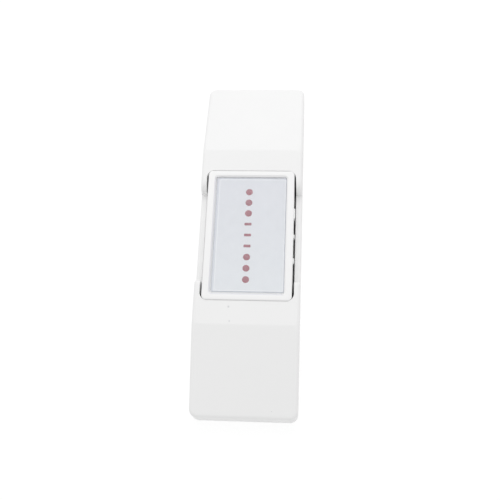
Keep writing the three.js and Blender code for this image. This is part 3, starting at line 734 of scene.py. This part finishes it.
def rounded_ring(half_x, half_y, radius, z, middle=(0.0, 0.0), arc=7, side=2):
    """A closed loop of points round a rectangle whose corners are arcs; every ring has the same count."""
    radius = min(radius, half_x, half_y)
    turn = np.linspace(0.0, math.pi / 2, arc + 1)
    loop = []
    for quarter, (sx, sy) in enumerate(((1, 1), (-1, 1), (-1, -1), (1, -1))):
        angle = turn + quarter * math.pi / 2
        x = sx * (half_x - radius) + radius * np.cos(angle)
        y = sy * (half_y - radius) + radius * np.sin(angle)
        loop.append(np.stack([x, y], axis=-1))
    corners = np.concatenate(loop)
    ahead = np.roll(corners, -1, axis=0)
    steps = np.arange(side)[None, :, None] / side
    last_of_arc = (np.arange(len(corners)) % (arc + 1)) == arc
    along = corners[:, None] + (ahead - corners)[:, None] * steps
    keep = np.where(last_of_arc[:, None], True, np.arange(side)[None, :] == 0)
    points = along.reshape(-1, 2)[keep.reshape(-1)]
    points = points + np.asarray(middle)
    return np.column_stack([points, np.full(len(points), z)])


def ring_stack(shell, rings, middle=(0.0, 0.0), caps=(True, True), arc=7, side=2):
    """A loft through rounded rectangles, each given as (half x, half y, corner radius, z)."""
    loops = np.stack([rounded_ring(*ring, middle=middle, arc=arc, side=side) for ring in rings])
    shell.grid(loops, closed=True)
    if caps[0]:
        shell.cap(loops[0][::-1])
    if caps[1]:
        shell.cap(loops[-1])


def arc_steps(start, end, count):
    """Angles from start to end, in degrees, both ends included."""
    return np.radians(np.linspace(start, end, count + 1))


def round_steps(radius, start, end, count):
    """Steps over a rounded edge from one angle to another, in degrees: how far each lies in from the upright
    face, which is the radius less its cosine's share, and how far from the level one, less its sine's."""
    return [(radius * (1 - math.cos(a)), radius * (1 - math.sin(a))) for a in arc_steps(start, end, count)]


def block(shell, x, y, z, radius, edge):
    """A box between the given limits, with rounded upright corners and rounded top and bottom edges."""
    half_x, half_y = (x[1] - x[0]) / 2, (y[1] - y[0]) / 2
    middle = ((x[0] + x[1]) / 2, (y[0] + y[1]) / 2)
    levels = [(inset, z[0] + rise) for inset, rise in round_steps(edge, 90, 0, 3)]
    levels += [(inset, z[1] - drop) for inset, drop in round_steps(edge, 0, 90, 3)]
    rings = [(half_x - inset, half_y - inset, radius - inset, height) for inset, height in levels]
    ring_stack(shell, rings, middle, arc=4, side=1)


# Housing cover

# One side of the cover's wall: its plan, the edge radii at its sides, notches and ends, its depth under the
# top face, the crease's place and the round of its foot
Skin = namedtuple("Skin", "half_width half_length plan side_edge notch_edge end_edge depth crease foot_round")
OUTSIDE = Skin(
    half_width=BODY_HALF_WIDTH,
    half_length=BODY_HALF_LENGTH,
    plan=PLAN_RADIUS,
    side_edge=LONG_EDGE_RADIUS,
    notch_edge=NOTCH_EDGE_RADIUS,
    end_edge=END_EDGE_RADIUS,
    depth=0.0,
    crease=CREASE_Y,
    foot_round=FOOT_ROUND,
)
INSIDE = Skin(
    half_width=INNER_HALF_WIDTH,
    half_length=INNER_HALF_LENGTH,
    plan=CAVITY_RADIUS,
    side_edge=0.0,
    notch_edge=0.0,
    end_edge=CAVITY_END_RADIUS,
    depth=TOP_WALL,
    crease=INNER_CREASE_Y,
    foot_round=0.0,
)

# Plan points carry their outward normals, as rows of x, y and the normal's x and y
MIRROR_X = np.array([-1.0, 1.0, -1.0, 1.0])


def plan_line(x, y, normal):
    """Plan points along a straight stretch, with one normal."""
    return np.column_stack(np.broadcast_arrays(x, y, *normal))


def plan_arc(x, y, radius, start, end, count):
    """Plan points round the centre (x, y), from one angle to another in degrees."""
    turn = arc_steps(start, end, count)
    away = np.column_stack([np.cos(turn), np.sin(turn)])
    return np.column_stack([np.array([x, y]) + radius * away, away])


def nose_stations(start, side, roll):
    """Stations round the nose of a notch's end: a quarter circle from the end wall to the rail's top."""
    return [(start + side * along, PLATEAU - drop) for along, drop in round_steps(roll, 0, 90, NOSE_STEPS)]


def side_stations():
    """Stations up one long side between the creases, as (y, top height): the notch has an upright end wall
    up to the round nose, which is a quarter circle, so two stations there share one y."""
    upper = nose_stations(NOTCH_UPPER_Y, 1.0, NOTCH_UPPER_ROLL)
    lower = nose_stations(NOTCH_LOWER_Y, -1.0, NOTCH_LOWER_ROLL)
    straight_end_low = WINDOW_LOWER_Y + WINDOW_RADIUS
    straight_end_high = WINDOW_UPPER_Y - WINDOW_RADIUS
    below = [(y, PLATEAU) for y in np.linspace(-CREASE_Y, straight_end_low, CORNER_STEPS + 1)]
    above = [(y, PLATEAU) for y in np.linspace(straight_end_high, CREASE_Y, CORNER_STEPS + 1)]
    floor = [(y, NOTCH_FLOOR) for y in np.linspace(NOTCH_LOWER_Y, NOTCH_UPPER_Y, NOTCH_STATIONS)]
    return np.array(below + lower[::-1] + floor + upper + above)


def end_stations(skin):
    """Stations round one end, from the crease on the right side to the crease on the left: up the side,
    round the corner, across the end wall and back."""
    half_width, half_length, radius = skin.half_width, skin.half_length, skin.plan
    side_y = np.linspace(CREASE_Y, half_length - radius, SIDE_STEPS + 1)
    side_y = np.where(side_y <= CREASE_Y, skin.crease, side_y)
    end_x = np.linspace(half_width - radius, radius - half_width, END_STEPS + 1)[1:-1]
    right = plan_line(half_width, side_y, (1.0, 0.0))
    bend = plan_arc(half_width - radius, half_length - radius, radius, 0, 90, PLAN_STEPS)[1:]
    level = plan_line(end_x, half_length, (0.0, 1.0))
    half = np.concatenate([right, bend])
    return np.concatenate([half, level, (half * MIRROR_X)[::-1]])


def wall_profile(plan, top, radius, rise, foot_round):
    """The wall's section at each plan point: up from the foot, then an arc of the edge radius that meets the
    top face, which rises inwards at the given rate. Returns a grid of rows by stations."""
    points, normals = plan[:, :2], plan[:, 2:]
    lean = np.arctan(rise)
    middle_z = top + rise * radius - radius * np.sqrt(1 + rise * rise)
    foot = round_steps(foot_round, 90, 0, 3) if foot_round else [(0.0, 0.0)]
    rows = [np.column_stack([points - normals * inset, np.full(len(points), z)]) for inset, z in foot]
    for share in np.linspace(0.0, 1.0, EDGE_STEPS + 1):
        angle = share * (math.pi / 2 - lean)
        inset = radius * (1 - np.cos(angle))
        z = middle_z + radius * np.sin(angle)
        rows.append(np.column_stack([points - normals * inset[:, None], z]))
    return np.stack(rows)


def side_section(skin, stations, side):
    """The section along one long side: the right side runs up and the left side runs down."""
    y, rail = stations.T
    y = np.where(np.abs(y) >= CREASE_Y, np.sign(y) * skin.crease, y)
    top = np.minimum(rail - RAIL_WALL, CEILING) if skin is INSIDE else rail
    depth = np.clip((PLATEAU - rail) / (PLATEAU - NOTCH_FLOOR), 0.0, 1.0)
    edge = skin.side_edge + (skin.notch_edge - skin.side_edge) * depth
    order = slice(None, None, int(side))
    plan = plan_line(side * skin.half_width, y, (side, 0.0))[order]
    return wall_profile(plan, top[order], edge[order], 0.0, skin.foot_round)


def end_section(skin, end):
    """The section round one end, under a top face that falls from the crease with the slope."""
    plan = end_stations(skin)
    facing = np.abs(plan[:, 3])
    over = np.maximum(np.abs(plan[:, 1]) - skin.crease, 0.0)
    top = PLATEAU - skin.depth - over * math.tan(SLOPE)
    radius = skin.side_edge + (skin.end_edge - skin.side_edge) * facing
    section = wall_profile(plan, top, radius, math.tan(SLOPE) * facing, skin.foot_round)
    return section * np.array([end, end, 1.0])


def crease_line(skin, rim, end):
    """The crease as points that face those of an end section's last row, from its right side to its left.
    The first and last few are spread over the window's corners."""
    inner = INNER_HALF_WIDTH - WINDOW_RADIUS
    right = np.linspace(abs(rim[0, 0]), inner, CORNER_STEPS + 1)[:-1]
    middle = np.linspace(inner, -inner, len(rim) - 2 * CORNER_STEPS)
    x = np.concatenate([right, middle, -right[::-1]]) * end
    return np.column_stack(np.broadcast_arrays(x, end * skin.crease, PLATEAU - skin.depth))


def window_loop(stations, chord_count):
    """The window's outline at the same stations as the loop round it, with its normals into the material.
    On the straight stretches each point faces its station; each corner's arc is shared by the stations
    between its two ends: its first half by the side's last few, its second half by the crease's first few.
    The right edge leans in by a fifth of a millimetre above the notch."""
    inner = INNER_HALF_WIDTH - WINDOW_RADIUS
    upper_centre = WINDOW_UPPER_Y - WINDOW_RADIUS
    lower_centre = WINDOW_LOWER_Y + WINDOW_RADIUS

    def corner(side, centre, start, end):
        return plan_arc(side * inner, centre, WINDOW_RADIUS, start, end, CORNER_STEPS)

    right = np.concatenate([
        corner(1, lower_centre, -45, 0)[:-1],
        plan_line(INNER_HALF_WIDTH, stations[CORNER_STEPS:-CORNER_STEPS, 0], (1.0, 0.0)),
        corner(1, upper_centre, 0, 45)[1:],
    ])
    straight = np.linspace(inner, -inner, chord_count - 2 * CORNER_STEPS)[1:-1]
    upper = np.concatenate([
        corner(1, upper_centre, 45, 90)[1:],
        plan_line(straight, WINDOW_UPPER_Y, (0.0, 1.0)),
        corner(-1, upper_centre, 90, 135)[:-1],
    ])
    lower = np.array([0.0, 2 * WINDOW_MIDDLE_Y, 0.0, 0.0]) - upper
    loop = np.concatenate([right, upper, (right * MIRROR_X)[::-1], lower])
    rise = np.clip((loop[:, 1] - NOTCH_UPPER_Y) / (upper_centre - NOTCH_UPPER_Y), 0.0, 1.0)
    loop[:, 0] -= WINDOW_UPPER_TAPER * rise * np.clip(loop[:, 0] / inner, 0.0, 1.0)
    return loop[:, :2], loop[:, 2:]


def blended_rows(start, end, shares):
    """Rows that run straight from one line of points to another, at the given shares of the way."""
    shares = np.asarray(shares)[:, None, None]
    return start[None] * (1 - shares) + end[None] * shares


def flat_middle(shell, skin, stations, around, chord_count):
    """The flat middle, from the loop round it to the window's rim, and outside the rim's small round.
    Returns the rim's last row."""
    rim, away = window_loop(stations, chord_count)
    level = around[:, 2]
    if skin is INSIDE:
        edge = np.column_stack([rim, level])
        shell.grid(blended_rows(around, edge, CEILING_SHARES), closed=True)
        return edge
    steps = round_steps(WINDOW_ROUND, 90, 0, 4)
    rows = [np.column_stack([rim + away * inset, level - drop]) for inset, drop in steps]
    shell.grid(blended_rows(around, rows[0], FLAT_SHARES), closed=True)
    shell.grid(np.stack(rows), closed=True)
    return rows[-1]


def make_front_cover():
    """The shell is a wall and edge profile carried round the plan outline, two flat sloping ends, and a flat
    middle between that profile, the two creases and the window. The inside repeats this a wall further in."""
    shell = Shell()
    stations = side_stations()
    feet = []
    rims = []
    for skin in (OUTSIDE, INSIDE):
        right, left = (side_section(skin, stations, side) for side in (1.0, -1.0))
        upper, lower = (end_section(skin, end) for end in (1.0, -1.0))
        upper_crease = crease_line(skin, upper[-1], 1.0)
        lower_crease = crease_line(skin, lower[-1], -1.0)
        for section in (right, left, upper, lower):
            shell.grid(section)
        shell.grid(blended_rows(upper[-1], upper_crease, SLAB_SHARES))
        shell.grid(blended_rows(lower[-1], lower_crease, SLAB_SHARES))
        around = np.concatenate([right[-1], upper_crease[1:-1], left[-1], lower_crease[1:-1]])
        rims.append(flat_middle(shell, skin, stations, around, len(upper_crease)))
        feet.append(np.concatenate([right[0], upper[0][1:-1], left[0], lower[0][1:-1]]))
    shell.grid(np.stack(rims), closed=True)
    shell.grid(np.stack(feet), closed=True)
    cover = shell.make("cover_shell", MATERIALS["cover_white"])
    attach(cover, "base")
    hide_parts("front_cover")


# Press plate


def bezel_rings():
    """The frame's outer face, as inset along X, inset along Y, corner radius and height: the skirt's foot,
    its rounded top edge, the crown as the top of a sine wave, the inner edge, the ledge and the pocket."""
    crown_foot = BUTTON_TOP - CROWN
    corners = [(i, SKIRT_BOTTOM + rise) for i, rise in round_steps(SKIRT_ROUND, 90, 0, 2)]
    corners += [(i, crown_foot - drop) for i, drop in round_steps(BUTTON_ROUND, 0, 80, 7)]
    rings = [(i, i, BUTTON_RADIUS - i, z) for i, z in corners]
    width = BEZEL_WIDTH - BUTTON_ROUND - INNER_ROUND
    end_width = BEZEL_END_WIDTH - BUTTON_ROUND - INNER_ROUND
    inner_radius = POCKET_RADIUS + LEDGE_WIDTH
    for share in np.linspace(CROWN_START, 1.0, CROWN_ROWS):
        lift = CROWN * math.sin(math.pi * (0.25 + 0.5 * share))
        corner = (BUTTON_RADIUS - BUTTON_ROUND) * (1 - share) + (inner_radius + INNER_ROUND) * share
        inset_x = BUTTON_ROUND + width * share
        inset_y = BUTTON_ROUND + end_width * share
        rings.append((inset_x, inset_y, corner, crown_foot + lift))
    edge_z = BUTTON_TOP - CROWN * CROWN_EDGE_SHARE
    for out, drop in round_steps(INNER_ROUND, 75, 20, 3):
        rings.append((BEZEL_WIDTH - out, BEZEL_END_WIDTH - out, inner_radius + out, edge_z - drop))
    pocket_x = BEZEL_WIDTH + LEDGE_WIDTH
    pocket_y = BEZEL_END_WIDTH + LEDGE_WIDTH
    ledge_z = BUTTON_TOP - LEDGE_DEPTH
    rings.append((pocket_x - POCKET_EDGE, pocket_y - POCKET_EDGE, POCKET_RADIUS + POCKET_EDGE, ledge_z))
    rings.append((pocket_x, pocket_y, POCKET_RADIUS, ledge_z - POCKET_EDGE_DROP))
    rings.append((pocket_x, pocket_y, POCKET_RADIUS, WEB_TOP))
    return rings


def make_button():
    """The frame is a loft of rounded rectangles: up the skirt, over the rounded and slightly crowned bezel,
    down to the ledge and the pocket's floor, with the hollow underside as a second loft."""
    shell = Shell()
    hx, hy = BUTTON_HALF_WIDTH, BUTTON_HALF_LENGTH
    middle = (0.0, BUTTON_MIDDLE_Y)
    outer = [(hx - ix, hy - iy, r, z) for ix, iy, r, z in bezel_rings()]
    hollow = (hx - SKIRT_WALL, hy - SKIRT_WALL, BUTTON_RADIUS / 2)
    foot = (hx - SKIRT_ROUND, hy - SKIRT_ROUND, BUTTON_RADIUS - SKIRT_ROUND, SKIRT_BOTTOM)
    under = [foot, (*hollow, SKIRT_BOTTOM), (*hollow, WEB_BOTTOM)]
    for rings in (outer, under):
        ring_stack(shell, rings, middle, caps=(False, True), arc=10, side=6)
    for y, width in GUIDE_RIBS:
        for side in (1.0, -1.0):
            x = sorted((side * (hx - SKIRT_WALL / 2), side * (INNER_HALF_WIDTH - RUNNING_GAP)))
            z = (SKIRT_BOTTOM, BUTTON_TOP - GUIDE_RIB_TOP)
            block(shell, x, (y - width / 2, y + width / 2), z, *RIB_ROUNDS)
    lip_z = (CEILING - RUNNING_GAP - LIP_THICKNESS, CEILING - RUNNING_GAP)
    for y in (
        (BUTTON_UPPER_Y - SKIRT_WALL, WINDOW_UPPER_Y + LIP_REACH),
        (WINDOW_LOWER_Y - LIP_REACH, BUTTON_LOWER_Y + SKIRT_WALL),
    ):
        for side in (1.0, -1.0):
            x = side * LIP_SPACING / 2
            block(shell, (x - LIP_WIDTH / 2, x + LIP_WIDTH / 2), y, lip_z, *LIP_ROUNDS)
    for end in (1.0, -1.0):
        radius = SPRING_PEG_RADIUS
        tip = SPRING_PEG_RADIUS - SPRING_PEG_TIP
        peg = [
            (radius, radius, radius, WEB_BOTTOM + WEB_THICKNESS / 2),
            (radius, radius, radius, WEB_BOTTOM - SPRING_PEG_LENGTH + SPRING_PEG_TIP),
            (tip, tip, tip, WEB_BOTTOM - SPRING_PEG_LENGTH),
        ]
        ring_stack(shell, peg, (0.0, SPRING_MIDDLE_Y + end * SPRING_SPACING / 2), side=1)
    block(shell, *PRESS_PAD, *PAD_ROUNDS)
    button = shell.make("press_plate", MATERIALS["button_white"], BUTTON_SHARP_ANGLE)
    # painted shade on the ledge at the left and foot of the pocket
    paint_ledge_shade(button.data)
    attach(button, "button")
    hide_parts("button_frame")


def paint_ledge_shade(mesh):
    """Gives the ledge on the left of the pocket and at its foot a darker lilac-grey: the lilac tone of the
    window's edge, with painted shade for the shaded recess.
    """
    mesh.materials.append(MATERIALS["ledge_painted_shade"])
    centres = np.empty(len(mesh.polygons) * 3)
    mesh.polygons.foreach_get("center", centres)
    x, y, z = (centres.reshape(-1, 3) / MM).T
    y = y - BUTTON_MIDDLE_Y
    bezel_x = BUTTON_HALF_WIDTH - BEZEL_WIDTH
    bezel_y = BUTTON_HALF_LENGTH - BEZEL_END_WIDTH
    within = (np.abs(x) < bezel_x) & (np.abs(y) < bezel_y)
    shown = (x < -POCKET_HALF_WIDTH) | (y < -POCKET_HALF_LENGTH)
    level = np.abs(z - (BUTTON_TOP - LEDGE_DEPTH)) < INNER_ROUND
    ledge = within & shown & level
    mesh.polygons.foreach_set("material_index", ledge.astype(np.int32))


def make_window():
    """The clear plate in the pocket: a loft with small rounded edges and a very slightly crowned face."""
    shell = Shell()
    hx, hy = POCKET_HALF_WIDTH - POCKET_GAP, POCKET_HALF_LENGTH - POCKET_GAP
    edge = WINDOW_PLATE_EDGE
    rim_z = PLATE_TOP - WINDOW_PLATE_RIM_DROP
    rings = [(hx - edge, hy - edge, POCKET_RADIUS - edge, PLATE_BOTTOM)]
    rings.append((hx, hy, POCKET_RADIUS, PLATE_BOTTOM + edge))
    rings += [(hx - i, hy - i, POCKET_RADIUS - i, rim_z - drop) for i, drop in round_steps(edge, 0, 90, 3)]
    rings += [(hx - i, hy - i, radius, PLATE_TOP - drop) for i, radius, drop in WINDOW_PLATE_CROWN]
    ring_stack(shell, rings, (0.0, BUTTON_MIDDLE_Y), arc=8, side=4)
    window = shell.make("label_window", MATERIALS["window_clear"])
    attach(window, "button")
    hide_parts("button_window")


def make_label():
    """The card under the window, and its column of nine plain marks as thin rounded slips on its face."""
    shell = Shell()
    hx, hy = CARD_HALF_WIDTH, CARD_HALF_LENGTH
    rings = [
        (hx, hy, CARD_RADIUS, WEB_TOP),
        (hx, hy, CARD_RADIUS, CARD_FACE - CARD_EDGE),
        (hx - CARD_EDGE, hy - CARD_EDGE, CARD_RADIUS - CARD_EDGE, CARD_FACE),
        (hx - CARD_FLAT_INSET, hy - CARD_FLAT_INSET, CARD_FLAT_RADIUS, CARD_FACE),
    ]
    ring_stack(shell, rings, (CARD_SHIFT_X, CARD_MIDDLE_Y), arc=6, side=4)
    card = shell.make("label_film", MATERIALS["label_silver"])
    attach(card, "button")
    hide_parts("label_card")
    ink = Shell()
    foot = CARD_FACE - INK_SINK
    for i in range(MARK_COUNT):
        y = MARK_MIDDLE_Y + (i - (MARK_COUNT - 1) / 2) * MARK_PITCH
        if i * 3 // MARK_COUNT == 1:
            hx, hy, radius = BAR_HALF_WIDTH, BAR_HALF_LENGTH, BAR_RADIUS
        else:
            hx, hy, radius = DOT_RADIUS, DOT_RADIUS, DOT_RADIUS
        rings = [(hx, hy, radius, foot), (hx, hy, radius, foot + INK_THICKNESS)]
        rings.append((*(size - INK_THICKNESS for size in (hx, hy, radius)), CARD_FACE + INK_THICKNESS))
        ring_stack(ink, rings, (MARK_MIDDLE_X, y), arc=8, side=1)
    marks = ink.make("label_marks", MATERIALS["print_red"])
    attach(marks, "button")


# Return springs


def helix_wire(shell, y, low, high):
    """A round wire section carried along a helix, whose angle and height grow evenly. At each angle the
    section is spread over the outward direction and the normal that the wire makes with it."""
    angle = np.linspace(0.0, 2 * math.pi * SPRING_TURNS, SPRING_TURNS * TURN_STEPS + 1)[:, None]
    around = np.linspace(0.0, 2 * math.pi, WIRE_SIDES, endpoint=False)[None, :]
    rise = (high - low) / (2 * math.pi * SPRING_TURNS)
    slant = math.hypot(SPRING_RADIUS, rise)
    reach = SPRING_RADIUS + SPRING_WIRE_RADIUS * np.cos(around)
    lean = SPRING_WIRE_RADIUS * np.sin(around) * rise / slant
    lift = SPRING_WIRE_RADIUS * np.sin(around) * SPRING_RADIUS / slant
    x = reach * np.cos(angle) + lean * np.sin(angle)
    across = reach * np.sin(angle) - lean * np.cos(angle)
    points = np.stack([x, y + across, low + rise * angle + lift], axis=-1)
    shell.grid(points, closed=True)
    shell.cap(points[0][::-1])
    shell.cap(points[-1])


def make_springs():
    """Each coil stands on the back plate and reaches to just under the press plate's web."""
    top = WEB_BOTTOM - SPRING_TOP_GAP
    for name, end in (("upper", 1.0), ("lower", -1.0)):
        y = SPRING_MIDDLE_Y + end * SPRING_SPACING / 2
        shell = Shell()
        helix_wire(shell, y, SPRING_FOOT + SPRING_WIRE_RADIUS, top - SPRING_WIRE_RADIUS)
        spring = shell.make(f"spring_wire_{name}", MATERIALS["spring_steel"], SOFT_SHARP_ANGLE)
        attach(spring, "base")
        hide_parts(f"return_spring_{name}")
        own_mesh(spring)


# Pieces that keep their CAD form


def eased_copy(node, material, width):
    """A merged copy of a CAD piece whose flat faces are joined and whose sharp edges are eased by a bevel."""
    source = frame["nodes"][node]
    mesh = source.data.copy()
    mesh.name = node + "_eased"
    work = bmesh.new()
    work.from_mesh(mesh)
    bmesh.ops.remove_doubles(work, verts=work.verts, dist=SHORTEST_EDGE * MM)
    flat = math.radians(FLAT_LIMIT)
    bmesh.ops.dissolve_limit(work, angle_limit=flat, verts=work.verts, edges=work.edges)
    bmesh.ops.recalc_face_normals(work, faces=work.faces)
    work.to_mesh(mesh)
    work.free()
    mesh.materials.clear()
    mesh.materials.append(material)
    made = bpy.data.objects.new(node + "_eased", mesh)
    bpy.context.scene.collection.objects.link(made)
    ease = made.modifiers.new("eased edges", "BEVEL")
    ease.width = width * MM
    ease.segments = BEVEL_SEGMENTS
    ease.limit_method = "ANGLE"
    ease.angle_limit = math.radians(BEVEL_LIMIT)
    ease.use_clamp_overlap = True
    ease.harden_normals = False
    mesh.shade_smooth()
    mesh.set_sharp_from_angle(angle=math.radians(SOFT_SHARP_ANGLE))
    return made


def body_of(node):
    for body, nodes in frame["record"]["behaviour"]["bodies"].items():
        if node in nodes:
            return body
    return "base"


def dress_inner_pieces():
    """Eases the moulded pieces, and gives every other CAD node the material of its own slot."""
    slots = {row["node"]: row["material_slot"] for row in frame["record"]["subparts"]}
    replaced = {
        "front_cover",
        "button_frame",
        "button_window",
        "label_card",
        "return_spring_upper",
        "return_spring_lower",
    }
    for node, slot in slots.items():
        if node in replaced:
            continue
        if node in EASED:
            made = eased_copy(node, MATERIALS[slot], EASED[node])
            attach(made, body_of(node))
            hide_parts(node)
        else:
            for place in frame["nodes"][node].material_slots:
                place.material = MATERIALS[slot]


make_camera()
make_world()
make_key_light()
make_floor()
make_front_cover()
make_button()
make_window()
make_label()
make_springs()
dress_inner_pieces()

bpy.context.scene.view_settings.view_transform = "Standard"
